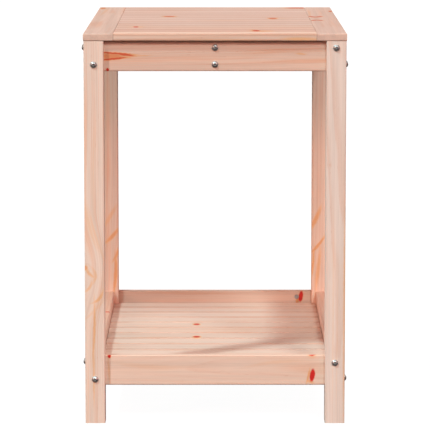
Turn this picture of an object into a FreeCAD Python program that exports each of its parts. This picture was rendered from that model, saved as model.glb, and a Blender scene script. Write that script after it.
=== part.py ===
import FreeCAD, Part

# A slatted potting bench of softwood. Four square legs carry a frame of rails under the worktop and a
# second frame of rails round a low shelf. Bolts through the legs screw into barrel nuts in the rails.
#
# Millimetres. X runs along the short side, Y along the long side, from front to back, and Z up. The
# origin is on the ground, in the middle of the footprint. Turned half a turn about Z, the bench is the
# same but for the open ends of the centre rail's barrel nut holes, which face -X or +X.

import math
import os

import Sketcher

# Alias, value and meaning of each driving dimension.
DIMENSIONS = [
    ("worktop_width", 500, "worktop along X"),
    ("worktop_length", 825, "worktop along Y"),
    ("bench_height", 750, "ground to worktop"),
    ("board_width", 57, "every worktop board and shelf slat"),
    ("board_thickness", 14, "every worktop board and shelf slat"),
    ("edge_round", 2, "radius of the long edges of the wood"),
    ("worktop_slats", 14, "slats between the side boards"),
    ("shelf_slats", 12, "slats on the shelf"),
    ("seam", 0.5, "gap between a slat's end and the side board"),
    ("leg_side", 38, "square section of a leg"),
    ("leg_inset", 1, "worktop edge to the leg's outer face"),
    ("rail_height", 58, "section of every rail"),
    ("rail_thickness", 19, "section of every rail"),
    ("shelf_rail_level", 73, "ground to the bottom of the shelf rails"),
    ("shelf_drop", 26, "top of the shelf rails down to the shelf"),
    ("shelf_clearance", 1, "shelf slats to the rails and legs round them"),
    ("worktop_batten_width", 35, "batten under each seam of the worktop"),
    ("shelf_batten_width", 19, "batten along each long shelf rail"),
    ("bolt_thread", 6, "diameter of the bolts"),
    ("bolt_hole", 6.5, "clearance hole for a bolt"),
    ("bolt_spacing", 32, "between the high and the low bolt level of a rail"),
    ("bolt_head_width", 12.5, "domed bolt head"),
    ("bolt_head_height", 4, "domed bolt head"),
    ("bolt_head_rim", 1.2, "straight edge below the dome"),
    ("bolt_head_flat", 5, "diameter of the flat on top of the dome"),
    ("bolt_socket", 4, "hexagon socket across its flats"),
    ("bolt_socket_depth", 2.6, "hexagon socket"),
    ("frame_bolt", 80, "bolt through a leg into a rail, below its head"),
    ("centre_bolt", 60, "bolt through an end rail into the centre rail, below its head"),
    ("bolt_hole_spare", 2, "hole beyond the tip of a bolt"),
    ("bolt_tip", 1, "chamfer at the tip of a bolt"),
    ("nut_distance", 32, "rail's end to the barrel nut"),
    ("nut_width", 10, "diameter of a barrel nut"),
    ("nut_length", 14, "length of a barrel nut"),
    ("nut_thread", 6.1, "hole across a barrel nut"),
    ("nut_slot", 1.4, "width and depth of the screwdriver slot"),
    ("nut_hole", 10.3, "hole for a barrel nut"),
    ("nut_hole_depth", 17, "hole for a barrel nut"),
    ("screw_thread", 4, "diameter of the wood screws"),
    ("screw_head", 8, "countersunk head"),
    ("screw_tip", 4, "length of the pointed end"),
    ("screw_recess", 1.1, "width and depth of the cross recess"),
    ("short_screw", 30, "battens to slats, side boards and shelf rails"),
    ("long_screw", 45, "centre rail to slats"),
    ("screw_hole", 4.2, "hole for a wood screw"),
    ("screw_hole_spare", 0.5, "hole beyond the tip of a screw"),
    ("countersink", 8.2, "recess for a screw head"),
    ("long_screw_bite", 11, "long screws into the slats"),
    ("slat_screw_offset", 16, "slat's middle line to each of its screws"),
    ("worktop_screw_offset", 9, "worktop batten's middle line to its screws"),
    ("side_board_screws", 7, "screws up into each side board"),
    ("side_board_screw_spacing", 120, "between those screws"),
    ("rail_screws", 5, "screws from a shelf batten into its rail"),
]

document = FreeCAD.newDocument("potting_bench")
sheet = document.addObject("Spreadsheet::Sheet", "dims")
for row, (alias, value, meaning) in enumerate(DIMENSIONS, start=1):
    sheet.set(f"A{row}", meaning)
    sheet.set(f"B{row}", str(value))
    sheet.setAlias(f"B{row}", alias)
document.recompute()

# Sizes and places that follow from the driving dimensions, as expressions on the sheet.
LEG_HEIGHT = "(dims.bench_height - dims.board_thickness)"
LEG_X = "(dims.worktop_width / 2 - dims.leg_inset - dims.leg_side / 2)"
LEG_Y = "(dims.worktop_length / 2 - dims.leg_inset - dims.leg_side / 2)"
SHORT_RAIL = f"(2 * {LEG_X} - dims.leg_side)"
LONG_RAIL = f"(2 * {LEG_Y} - dims.leg_side)"
CENTRE_RAIL = f"(2 * {LEG_Y} - dims.rail_thickness)"
TOP_RAIL_LEVEL = f"({LEG_HEIGHT} - dims.rail_height)"
SHELF_LEVEL = "(dims.shelf_rail_level + dims.rail_height - dims.shelf_drop - dims.board_thickness)"
HIGH = "(dims.rail_height / 2 + dims.bolt_spacing / 2)"
LOW = "(dims.rail_height / 2 - dims.bolt_spacing / 2)"
RAIL_BOLT_HOLE = "(dims.frame_bolt - dims.leg_side + dims.bolt_hole_spare)"
CENTRE_BOLT_HOLE = "(dims.centre_bolt - dims.rail_thickness + dims.bolt_hole_spare)"
BATTEN_HEIGHT = "(dims.rail_height - dims.shelf_drop - dims.board_thickness)"
WORKTOP_PITCH = "((dims.worktop_length - dims.board_width) / (dims.worktop_slats - 1))"
SHELF_PITCH = f"(({CENTRE_RAIL} - dims.board_width) / (dims.shelf_slats - 1))"
WORKTOP_SLAT = "(dims.worktop_width - 2 * dims.board_width - 2 * dims.seam)"
SHELF_SLAT = f"(2 * {LEG_X} - dims.rail_thickness - 2 * dims.shelf_clearance)"
WORKTOP_BATTEN_X = "(dims.worktop_width / 2 - dims.board_width)"
WORKTOP_BATTEN = f"({CENTRE_RAIL} - 2 * dims.shelf_clearance)"
SHELF_BATTEN_X = f"({LEG_X} - dims.rail_thickness / 2 - dims.shelf_batten_width / 2)"
SHELF_BATTEN = f"({LONG_RAIL} - 2 * dims.shelf_clearance)"
SLAT_SCREW_X = f"({WORKTOP_BATTEN_X} - dims.worktop_screw_offset)"
SIDE_BOARD_SCREW_X = f"({WORKTOP_BATTEN_X} + dims.worktop_screw_offset)"
SIDE_BOARD_X = "(dims.worktop_width / 2 - dims.board_width / 2)"
WORKTOP_BATTEN_LEVEL = f"({LEG_HEIGHT} - {BATTEN_HEIGHT})"
SHORT_BITE = f"(dims.short_screw - {BATTEN_HEIGHT})"
RAIL_BITE = "(dims.short_screw - dims.shelf_batten_width)"
RAIL_SCREW_PITCH = f"(2 * {SHELF_PITCH})"
LONG_SCREW_SINK = "(dims.rail_height + dims.long_screw_bite - dims.long_screw)"

parts = []


def size(expression):
    """The value of an expression on the sheet, in millimetres."""
    return float(sheet.evalExpression(expression))


def bind(target, **expressions):
    for name, expression in expressions.items():
        target.setExpression(name, expression)


def place(part, x="0", y="0", z="0", half_turn=False):
    """Puts a part's own origin at a point, turned half a turn about Z if asked."""
    if half_turn:
        part.Placement.Rotation = FreeCAD.Rotation(FreeCAD.Vector(0, 0, 1), 180)
    part.setExpression("Placement.Base.x", x)
    part.setExpression("Placement.Base.y", y)
    part.setExpression("Placement.Base.z", z)


# Sketches and features.


def new_body(label, is_part=True):
    body = document.addObject("PartDesign::Body", label)
    body.Label = label
    if is_part:
        parts.append(body)
    return body


def new_sketch(body, name, plane, offset="0"):
    """A sketch on one of the body's origin planes, or beside it by an offset along its normal."""
    sketch = body.newObject("Sketcher::SketchObject", f"{body.Name}_{name}_sketch")
    support = next(item for item in body.Origin.OriginFeatures if item.Role == plane)
    sketch.AttachmentSupport = (support, [""])
    sketch.MapMode = "FlatFace"
    sketch.setExpression("AttachmentOffset.Base.z", offset)
    return sketch


def constrain(sketch, name, expression, kind, *where):
    """A dimension bound to an expression."""
    index = sketch.addConstraint(Sketcher.Constraint(kind, *where, size(expression)))
    sketch.renameConstraint(index, name)
    sketch.setExpression(f"Constraints.{name}", expression)


def draw_rectangle(sketch, width, height, x="0", y="0", name="plate"):
    """A rectangle with its middle at x, y."""
    half_width, half_height = size(width) / 2, size(height) / 2
    corners = [
        FreeCAD.Vector(size(x) + across * half_width, size(y) + up * half_height, 0)
        for across, up in ((-1, -1), (1, -1), (1, 1), (-1, 1))
    ]
    sides = [Part.LineSegment(corners[i], corners[(i + 1) % 4]) for i in range(4)]
    first = sketch.addGeometry(sides)[0]
    for i in range(4):
        sketch.addConstraint(Sketcher.Constraint("Coincident", first + i, 2, first + (i + 1) % 4, 1))
    for i in (0, 2):
        sketch.addConstraint(Sketcher.Constraint("Horizontal", first + i))
        sketch.addConstraint(Sketcher.Constraint("Vertical", first + i + 1))
    constrain(sketch, f"{name}_width", width, "DistanceX", first, 1, first, 2)
    constrain(sketch, f"{name}_height", height, "DistanceY", first + 1, 1, first + 1, 2)
    left, low = f"{x} - ({width}) / 2", f"{y} - ({height}) / 2"
    constrain(sketch, f"{name}_left", left, "DistanceX", -1, 1, first, 1)
    constrain(sketch, f"{name}_low", low, "DistanceY", -1, 1, first, 1)


def draw_circles(sketch, diameter, centres):
    for number, (x, y) in enumerate(centres):
        middle = FreeCAD.Vector(size(x), size(y), 0)
        circle = Part.Circle(middle, FreeCAD.Vector(0, 0, 1), size(diameter) / 2)
        index = sketch.addGeometry(circle)
        constrain(sketch, f"hole_{number}_x", x, "DistanceX", -1, 1, index, 3)
        constrain(sketch, f"hole_{number}_y", y, "DistanceY", -1, 1, index, 3)
        constrain(sketch, f"hole_{number}_across", diameter, "Diameter", index)


def draw_outline(sketch, corners, dome=None):
    """A closed outline. The side that starts at the corner numbered dome is an arc about the axis."""
    points = [FreeCAD.Vector(size(x), size(y), 0) for x, y in corners]
    for number, start in enumerate(points):
        end = points[(number + 1) % len(points)]
        if number == dome:
            # Its middle lies on the vertical axis, as far from one end as from the other.
            height = (end.Length**2 - start.Length**2) / (2 * (end.y - start.y))
            middle = FreeCAD.Vector(0, height, 0)
            from_angle, to_angle = (math.atan2(point.y - height, point.x) for point in (start, end))
            circle = Part.Circle(middle, FreeCAD.Vector(0, 0, 1), (start - middle).Length)
            sketch.addGeometry(Part.ArcOfCircle(circle, from_angle, to_angle))
        else:
            sketch.addGeometry(Part.LineSegment(start, end))
    for number, (x, y) in enumerate(corners):
        following = (number + 1) % len(corners)
        sketch.addConstraint(Sketcher.Constraint("Coincident", number, 2, following, 1))
        constrain(sketch, f"corner_{number}_x", x, "DistanceX", -1, 1, number, 1)
        constrain(sketch, f"corner_{number}_y", y, "DistanceY", -1, 1, number, 1)
    if dome is not None:
        sketch.addConstraint(Sketcher.Constraint("PointOnObject", dome, 3, -2))


def removed(body, before, name):
    """Stops the build if a feature that should cut has cut nothing."""
    document.recompute()
    if not body.Shape.Volume < before - 0.1:
        raise RuntimeError(f"{body.Label}: {name} removes nothing")


def add_block(body, length_x, length_y, length_z):
    """A block that stands on the body's XY plane, with its middle on the Z axis."""
    sketch = new_sketch(body, "block", "XY_Plane")
    draw_rectangle(sketch, length_x, length_y)
    pad = body.newObject("PartDesign::Pad", f"{body.Name}_block")
    pad.Profile = sketch
    bind(pad, Length=length_z)
    document.recompute()
    return pad


def round_edges(body, feature, directions):
    """Rounds every straight edge that runs along one of the directions."""
    names = []
    for number, edge in enumerate(feature.Shape.Edges, start=1):
        run = edge.Vertexes[1].Point - edge.Vertexes[0].Point
        if any(abs(run.normalize() * direction) > 0.99 for direction in directions):
            names.append(f"Edge{number}")
    fillet = body.newObject("PartDesign::Fillet", f"{body.Name}_rounding")
    fillet.Base = (feature, names)
    bind(fillet, Radius="dims.edge_round")
    document.recompute()


def cut(body, name, sketch, depth=None, into_positive=False):
    """A pocket along the sketch's normal or against it, or right through both ways."""
    before = body.Shape.Volume
    pocket = body.newObject("PartDesign::Pocket", f"{body.Name}_{name}")
    pocket.Profile = sketch
    if depth is None:
        pocket.Type = "ThroughAll"
        pocket.SideType = "Symmetric"
    else:
        pocket.Reversed = into_positive
        bind(pocket, Length=depth)
    removed(body, before, name)
    return pocket


def drill(body, name, plane, diameter, centres, depth=None, offset="0", into_positive=False):
    """Round holes."""
    sketch = new_sketch(body, name, plane, offset)
    draw_circles(sketch, diameter, centres)
    return cut(body, name, sketch, depth, into_positive)


def sink_screws(body, name, plane, centres, offset="0", sink=None, into_positive=True):
    """Screw holes right through, with a countersink at the mouth or at the bottom of a wider hole."""
    before = body.Shape.Volume
    sketch = new_sketch(body, name, plane, offset)
    draw_circles(sketch, "dims.screw_hole", centres)
    hole = body.newObject("PartDesign::Hole", f"{body.Name}_{name}")
    hole.Profile = sketch
    document.recompute()
    hole.DepthType = "ThroughAll"
    hole.HoleCutType = "Counterdrill" if sink else "Countersink"
    hole.HoleCutCustomValues = True
    hole.HoleCutCountersinkAngle = 90
    hole.Reversed = into_positive
    bind(hole, Diameter="dims.screw_hole", HoleCutDiameter="dims.countersink")
    if sink:
        bind(hole, HoleCutDepth=sink)
    removed(body, before, name)
    return hole


def repeat(body, feature, axis, spacing, count):
    """The feature repeated along one of the body's own axes."""
    before = body.Shape.Volume
    pattern = body.newObject("PartDesign::LinearPattern", f"{feature.Name}_row")
    pattern.Originals = [feature]
    direction = next(item for item in body.Origin.OriginFeatures if item.Role == axis)
    pattern.Direction = (direction, [""])
    bind(pattern, Length=f"{spacing} * ({count} - 1)", Occurrences=count)
    body.Tip = pattern
    removed(body, before, pattern.Name)


ALONG_X = FreeCAD.Vector(1, 0, 0)
ALONG_Y = FreeCAD.Vector(0, 1, 0)
ALONG_Z = FreeCAD.Vector(0, 0, 1)


# The frame. Each leg takes one bolt into its short rail and one into its long rail at both frames,
# one at the rail's high bolt level and the other at the low one, so that they pass each other.


def bolt_levels(side_x, side_y):
    """Where a corner's bolts lie on its long rail and on its short rail."""
    return (LOW, HIGH) if side_x == side_y else (HIGH, LOW)


def add_leg(label, side_x, side_y):
    body = new_body(label)
    block = add_block(body, "dims.leg_side", "dims.leg_side", LEG_HEIGHT)
    round_edges(body, block, [ALONG_Z])
    planes = ("XZ_Plane", "YZ_Plane")
    for plane, rails, bolt in zip(planes, ("long", "short"), bolt_levels(side_x, side_y)):
        centres = [("0", f"{level} + {bolt}") for level in (TOP_RAIL_LEVEL, "dims.shelf_rail_level")]
        drill(body, f"bolts_to_{rails}_rails", plane, "dims.bolt_hole", centres)
    place(body, f"{side_x} * {LEG_X}", f"{side_y} * {LEG_Y}")


def add_short_rail(label, level, half_turn, centre_holes):
    """Lies along X. As the front rail, its inner face is +Y."""
    body = new_body(label)
    block = add_block(body, SHORT_RAIL, "dims.rail_thickness", "dims.rail_height")
    round_edges(body, block, [ALONG_X])
    inner_face = "-dims.rail_thickness / 2"
    nut_depth = "dims.nut_hole_depth"
    for name, side in (("left", -1), ("right", 1)):
        bolt = bolt_levels(side, -1)[1]
        end = f"{side} * {SHORT_RAIL} / 2"
        nut = f"{side} * ({SHORT_RAIL} / 2 - dims.nut_distance)"
        bolt_at, nut_at = [("0", bolt)], [(nut, bolt)]
        drill(body, f"{name}_bolt", "YZ_Plane", "dims.bolt_hole", bolt_at, RAIL_BOLT_HOLE, end, side < 0)
        drill(body, f"{name}_nut", "XZ_Plane", "dims.nut_hole", nut_at, nut_depth, inner_face, True)
    if centre_holes:
        drill(body, "centre_bolts", "XZ_Plane", "dims.bolt_hole", [("0", HIGH), ("0", LOW)])
    place(body, y=f"{LEG_Y}" if half_turn else f"-{LEG_Y}", z=level, half_turn=half_turn)


def add_long_rail(label, level, half_turn, batten_screws):
    """Lies along Y. As the left rail, its inner face is +X."""
    body = new_body(label)
    block = add_block(body, "dims.rail_thickness", LONG_RAIL, "dims.rail_height")
    round_edges(body, block, [ALONG_Y])
    inner_face = "dims.rail_thickness / 2"
    nut_depth = "dims.nut_hole_depth"
    for name, side in (("front", -1), ("back", 1)):
        bolt = bolt_levels(-1, side)[0]
        end = f"{-side} * {LONG_RAIL} / 2"
        nut = f"{side} * ({LONG_RAIL} / 2 - dims.nut_distance)"
        bolt_at, nut_at = [("0", bolt)], [(nut, bolt)]
        drill(body, f"{name}_bolt", "XZ_Plane", "dims.bolt_hole", bolt_at, RAIL_BOLT_HOLE, end, side > 0)
        drill(body, f"{name}_nut", "YZ_Plane", "dims.nut_hole", nut_at, nut_depth, inner_face)
    if batten_screws:
        first = f"-{RAIL_SCREW_PITCH} * (dims.rail_screws - 1) / 2"
        screw_at = [(first, f"{BATTEN_HEIGHT} / 2")]
        depth = f"{RAIL_BITE} + dims.screw_hole_spare"
        hole = drill(body, "batten_screw", "YZ_Plane", "dims.screw_hole", screw_at, depth, inner_face)
        repeat(body, hole, "Y_Axis", RAIL_SCREW_PITCH, "dims.rail_screws")
    place(body, x=f"{LEG_X}" if half_turn else f"-{LEG_X}", z=level, half_turn=half_turn)


def add_centre_rail():
    """Lies along Y under the worktop. The end rails are bolted to it and the slats screwed to it."""
    body = new_body("worktop_centre_rail")
    block = add_block(body, "dims.rail_thickness", CENTRE_RAIL, "dims.rail_height")
    round_edges(body, block, [ALONG_Y])
    bolts = [("0", HIGH), ("0", LOW)]
    for name, side in (("front", -1), ("back", 1)):
        end = f"{-side} * {CENTRE_RAIL} / 2"
        nut = f"{side} * ({CENTRE_RAIL} / 2 - dims.nut_distance)"
        nuts = [(nut, HIGH), (nut, LOW)]
        drill(body, f"{name}_bolts", "XZ_Plane", "dims.bolt_hole", bolts, CENTRE_BOLT_HOLE, end, side > 0)
        right_face = "dims.rail_thickness / 2"
        drill(body, f"{name}_nuts", "YZ_Plane", "dims.nut_hole", nuts, "dims.nut_hole_depth", right_face)
    first = f"-{WORKTOP_PITCH} * (dims.worktop_slats - 3) / 2"
    hole = sink_screws(body, "slat_screw", "XY_Plane", [("0", first)], sink=LONG_SCREW_SINK)
    repeat(body, hole, "Y_Axis", WORKTOP_PITCH, "dims.worktop_slats - 2")
    place(body, z=TOP_RAIL_LEVEL)


# The worktop and the shelf. Two screws hold each end of a slat to the batten below it. At the first
# and the last slat only the inner one reaches the batten, so the screws come in pairs about each gap
# between two slats.


def slat_place(pitch, count, number):
    """Where the middle line of a slat lies along Y. The first slat has the number 0."""
    return f"{pitch} * ({number} - ({count} - 1) / 2)"


def gap_place(pitch, count, number):
    """Where the gap after a slat lies along Y."""
    return f"{pitch} * ({number} - ({count} - 2) / 2)"


def add_slat(label, length, screw_x, pitch, count, number, level, notched, long_screw):
    """Lies along X. The last slat is the first one turned half a turn."""
    last = number == size(count) - 1
    outermost = number == 0 or last
    body = new_body(label)
    block = add_block(body, length, "dims.board_width", "dims.board_thickness")
    round_edges(body, block, [ALONG_X])
    if outermost and notched:
        first_slat = slat_place(pitch, count, 0)
        sketch = new_sketch(body, "notches", "XY_Plane")
        side = "dims.leg_side + 2 * dims.shelf_clearance"
        leg_y = f"-{LEG_Y} - {first_slat}"
        draw_rectangle(sketch, side, side, f"-{LEG_X}", leg_y, "left_leg")
        draw_rectangle(sketch, side, side, LEG_X, leg_y, "right_leg")
        cut(body, "notches", sketch)
    rows = ["dims.slat_screw_offset"]
    if not outermost:
        rows.append("-dims.slat_screw_offset")
    ends = (f"-{screw_x}", screw_x)
    centres = [(x, y) for x in ends for y in rows]
    depth = f"{SHORT_BITE} + dims.screw_hole_spare"
    drill(body, "batten_screws", "XY_Plane", "dims.screw_hole", centres, depth, into_positive=True)
    if long_screw and not outermost:
        depth = "dims.long_screw_bite + dims.screw_hole_spare"
        drill(body, "rail_screw", "XY_Plane", "dims.screw_hole", [("0", "0")], depth, into_positive=True)
    place(body, y=slat_place(pitch, count, number), z=level, half_turn=last)


def add_slats(frame, length, screw_x, pitch, count, level, notched, long_screw):
    for number in range(int(size(count))):
        label = f"{frame}_slat_{number + 1:02d}"
        add_slat(label, length, screw_x, pitch, count, number, level, notched, long_screw)


def add_side_board(label, half_turn):
    """Lies along Y at the worktop's edge. As the left board, the slats meet its +X edge."""
    body = new_body(label)
    block = add_block(body, "dims.board_width", "dims.worktop_length", "dims.board_thickness")
    round_edges(body, block, [ALONG_X, ALONG_Y])
    spacing, count = "dims.side_board_screw_spacing", "dims.side_board_screws"
    centre = (f"{SIDE_BOARD_X} - {SIDE_BOARD_SCREW_X}", f"-{spacing} * ({count} - 1) / 2")
    depth = f"{SHORT_BITE} + dims.screw_hole_spare"
    hole = drill(body, "screw", "XY_Plane", "dims.screw_hole", [centre], depth, into_positive=True)
    repeat(body, hole, "Y_Axis", spacing, count)
    place(body, x=SIDE_BOARD_X if half_turn else f"-{SIDE_BOARD_X}", z=LEG_HEIGHT, half_turn=half_turn)


def add_batten(label, width, length, x, level, screw_x, pitch, count, half_turn):
    """Lies along Y under the slats' ends, with its screws driven up from below."""
    body = new_body(label)
    block = add_block(body, width, length, BATTEN_HEIGHT)
    round_edges(body, block, [ALONG_Y])
    aside = f"{pitch} / 2 - dims.slat_screw_offset"
    first = gap_place(pitch, count, 0)
    centres = [(screw_x, f"{first} - ({aside})"), (screw_x, f"{first} + ({aside})")]
    holes = sink_screws(body, "slat_screws", "XY_Plane", centres)
    repeat(body, holes, "Y_Axis", pitch, f"{count} - 1")
    place(body, x=x if half_turn else f"-{x}", z=level, half_turn=half_turn)
    return body


def add_worktop_batten(label, half_turn):
    inner, outer = "dims.worktop_screw_offset", "-dims.worktop_screw_offset"
    width, count = "dims.worktop_batten_width", "dims.worktop_slats"
    across_and_level = (WORKTOP_BATTEN_X, WORKTOP_BATTEN_LEVEL)
    rows = (inner, WORKTOP_PITCH, count)
    body = add_batten(label, width, WORKTOP_BATTEN, *across_and_level, *rows, half_turn)
    spacing, count = "dims.side_board_screw_spacing", "dims.side_board_screws"
    centre = (outer, f"-{spacing} * ({count} - 1) / 2")
    hole = sink_screws(body, "side_board_screw", "XY_Plane", [centre])
    repeat(body, hole, "Y_Axis", spacing, count)


def add_shelf_batten(label, half_turn):
    width, count = "dims.shelf_batten_width", "dims.shelf_slats"
    across_and_level = (SHELF_BATTEN_X, "dims.shelf_rail_level")
    body = add_batten(label, width, SHELF_BATTEN, *across_and_level, "0", SHELF_PITCH, count, half_turn)
    centre = (f"-{RAIL_SCREW_PITCH} * (dims.rail_screws - 1) / 2", f"{BATTEN_HEIGHT} / 2")
    inner_face = "dims.shelf_batten_width / 2"
    hole = sink_screws(body, "rail_screw", "YZ_Plane", [centre], inner_face, into_positive=False)
    repeat(body, hole, "Y_Axis", RAIL_SCREW_PITCH, "dims.rail_screws")


# Fasteners. Each kind is drawn once, pointing along +Z with its seat at its own origin, and a group
# holds its copies.


def revolve_outline(body, corners, dome=None):
    sketch = new_sketch(body, "outline", "XZ_Plane")
    draw_outline(sketch, corners, dome)
    revolution = body.newObject("PartDesign::Revolution", f"{body.Name}_turned")
    revolution.Profile = sketch
    revolution.ReferenceAxis = (sketch, ["V_Axis"])
    document.recompute()


def draw_bolt(label, length):
    """A bolt with a domed head and a hexagon socket. Its head lies below the origin."""
    body = new_body(label, is_part=False)
    thread, rim, tip = "dims.bolt_thread / 2", "-dims.bolt_head_rim", "dims.bolt_tip"
    corners = [
        ("0", "-dims.bolt_head_height"),
        ("dims.bolt_head_flat / 2", "-dims.bolt_head_height"),
        ("dims.bolt_head_width / 2", rim),
        ("dims.bolt_head_width / 2", "0"),
        (thread, "0"),
        (thread, f"{length} - {tip}"),
        (f"{thread} - {tip}", length),
        ("0", length),
    ]
    revolve_outline(body, corners, dome=1)
    sketch = new_sketch(body, "socket", "XY_Plane", "-dims.bolt_head_height")
    corner = "dims.bolt_socket / 2 / cos(30)"
    hexagon = [(f"{corner} * cos({turn})", f"{corner} * sin({turn})") for turn in range(0, 360, 60)]
    draw_outline(sketch, hexagon)
    cut(body, "socket", sketch, "dims.bolt_socket_depth", into_positive=True)
    return body


def draw_barrel_nut():
    """A cross dowel. The bolt crosses it along X, and its slot shows at the lower end."""
    body = new_body("barrel_nut", is_part=False)
    sketch = new_sketch(body, "barrel", "XY_Plane")
    draw_circles(sketch, "dims.nut_width", [("0", "0")])
    pad = body.newObject("PartDesign::Pad", "barrel_nut_barrel")
    pad.Profile = sketch
    pad.SideType = "Symmetric"
    bind(pad, Length="dims.nut_length")
    document.recompute()
    drill(body, "thread", "YZ_Plane", "dims.nut_thread", [("0", "0")])
    sketch = new_sketch(body, "slot", "XY_Plane", "-dims.nut_length / 2")
    draw_rectangle(sketch, "2 * dims.nut_width", "dims.nut_slot")
    cut(body, "slot", sketch, "dims.nut_slot", into_positive=True)
    return body


def draw_screw(label, length):
    """A countersunk wood screw with a cross recess. The top of its head is at the origin."""
    body = new_body(label, is_part=False)
    thread = "dims.screw_thread / 2"
    corners = [
        ("0", "0"),
        ("dims.screw_head / 2", "0"),
        (thread, f"dims.screw_head / 2 - {thread}"),
        (thread, f"{length} - dims.screw_tip"),
        ("0", length),
    ]
    revolve_outline(body, corners)
    sketch = new_sketch(body, "recess", "XY_Plane")
    near, far = "dims.screw_recess / 2", "2 * dims.screw_recess"
    quarter = [(far, f"-{near}"), (far, near), (near, near)]
    cross = list(quarter)
    for _ in range(3):
        quarter = [(f"-({y})", x) for x, y in quarter]
        cross += quarter
    draw_outline(sketch, cross)
    cut(body, "recess", sketch, "dims.screw_recess", into_positive=True)
    return body


def add_group(label, fastener, places):
    """One part of several copies. A place is x, y, z, the way it points and the way its own X points."""
    copies = []
    for number, (x, y, z, pointing, across) in enumerate(places, start=1):
        copy = document.addObject("App::Link", f"{label}_{number}")
        copy.LinkedObject = fastener
        copy.LinkTransform = False
        turn = FreeCAD.Rotation(across, FreeCAD.Vector(), pointing, "ZXY")
        copy.Placement = FreeCAD.Placement(FreeCAD.Vector(), turn)
        place(copy, x, y, z)
        copies.append(copy)
    group = document.addObject("Part::Compound", label)
    group.Label = label
    group.Links = copies
    parts.append(group)


def add_frame_fasteners(frame, level, bolt, nut):
    """The bolts through the legs and the barrel nuts that they screw into."""
    bolts, nuts = [], []
    for side_y in (-1, 1):
        for side_x in (-1, 1):
            long_rail, short_rail = (f"{level} + {height}" for height in bolt_levels(side_x, side_y))
            leg_x, leg_y = f"{side_x} * {LEG_X}", f"{side_y} * {LEG_Y}"
            face_x = f"{side_x} * ({LEG_X} + dims.leg_side / 2)"
            face_y = f"{side_y} * ({LEG_Y} + dims.leg_side / 2)"
            nut_x = f"{side_x} * ({SHORT_RAIL} / 2 - dims.nut_distance)"
            nut_y = f"{side_y} * ({LONG_RAIL} / 2 - dims.nut_distance)"
            bolts.append((leg_x, face_y, long_rail, -side_y * ALONG_Y, ALONG_X))
            bolts.append((face_x, leg_y, short_rail, -side_x * ALONG_X, ALONG_Y))
            nuts.append((leg_x, nut_y, long_rail, side_x * ALONG_X, ALONG_Y))
            nuts.append((nut_x, leg_y, short_rail, side_y * ALONG_Y, ALONG_X))
    add_group(f"{frame}_frame_bolts", bolt, bolts)
    add_group(f"{frame}_frame_barrel_nuts", nut, nuts)


def add_centre_rail_fasteners(bolt, nut, screw):
    bolts, nuts = [], []
    for side_y in (-1, 1):
        for height in (HIGH, LOW):
            face_y = f"{side_y} * ({LEG_Y} + dims.rail_thickness / 2)"
            nut_y = f"{side_y} * ({CENTRE_RAIL} / 2 - dims.nut_distance)"
            level = f"{TOP_RAIL_LEVEL} + {height}"
            bolts.append(("0", face_y, level, -side_y * ALONG_Y, ALONG_X))
            nuts.append(("0", nut_y, level, -1 * ALONG_X, ALONG_Y))
    add_group("centre_rail_bolts", bolt, bolts)
    add_group("centre_rail_barrel_nuts", nut, nuts)
    level = f"{TOP_RAIL_LEVEL} + {LONG_SCREW_SINK}"
    count = "dims.worktop_slats"
    rows = [slat_place(WORKTOP_PITCH, count, number) for number in range(1, int(size(count)) - 1)]
    add_group("centre_rail_screws", screw, [("0", y, level, ALONG_Z, ALONG_X) for y in rows])


def screw_rows(pitch, count):
    """Where the screws up into the slats lie along Y, a pair about each gap."""
    aside = f"({pitch} / 2 - dims.slat_screw_offset)"
    gaps = [gap_place(pitch, count, number) for number in range(int(size(count)) - 1)]
    return [f"{gap} {sign} {aside}" for gap in gaps for sign in "-+"]


def even_rows(spacing, count):
    """Evenly spaced places along Y about the middle."""
    return [f"{spacing} * ({number} - ({count} - 1) / 2)" for number in range(int(size(count)))]


def add_batten_screws(screw):
    slat_rows = screw_rows(WORKTOP_PITCH, "dims.worktop_slats")
    side_board_rows = even_rows("dims.side_board_screw_spacing", "dims.side_board_screws")
    rows = ((SLAT_SCREW_X, slat_rows), (SIDE_BOARD_SCREW_X, side_board_rows))
    worktop, shelf, rails = [], [], []
    for side in (-1, 1):
        for x, ys in rows:
            worktop += [(f"{side} * {x}", y, WORKTOP_BATTEN_LEVEL, ALONG_Z, ALONG_X) for y in ys]
        for y in screw_rows(SHELF_PITCH, "dims.shelf_slats"):
            shelf.append((f"{side} * {SHELF_BATTEN_X}", y, "dims.shelf_rail_level", ALONG_Z, ALONG_X))
        inner_face = f"{side} * ({SHELF_BATTEN_X} - dims.shelf_batten_width / 2)"
        level = f"dims.shelf_rail_level + {BATTEN_HEIGHT} / 2"
        for y in even_rows(RAIL_SCREW_PITCH, "dims.rail_screws"):
            rails.append((inner_face, y, level, side * ALONG_X, ALONG_Y))
    add_group("worktop_batten_screws", screw, worktop)
    add_group("shelf_slat_screws", screw, shelf)
    add_group("shelf_batten_screws", screw, rails)


# The bench.

for side_y, depth_name in ((-1, "front"), (1, "back")):
    for side_x, width_name in ((-1, "left"), (1, "right")):
        add_leg(f"leg_{depth_name}_{width_name}", side_x, side_y)

for frame, level in (("top", TOP_RAIL_LEVEL), ("shelf", "dims.shelf_rail_level")):
    for name, half_turn in (("front", False), ("back", True)):
        add_short_rail(f"{frame}_rail_{name}", level, half_turn, centre_holes=frame == "top")
    for name, half_turn in (("left", False), ("right", True)):
        add_long_rail(f"{frame}_rail_{name}", level, half_turn, batten_screws=frame == "shelf")

add_centre_rail()
for name, half_turn in (("left", False), ("right", True)):
    add_side_board(f"worktop_side_board_{name}", half_turn)
    add_worktop_batten(f"worktop_batten_{name}", half_turn)
    add_shelf_batten(f"shelf_batten_{name}", half_turn)

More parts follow.
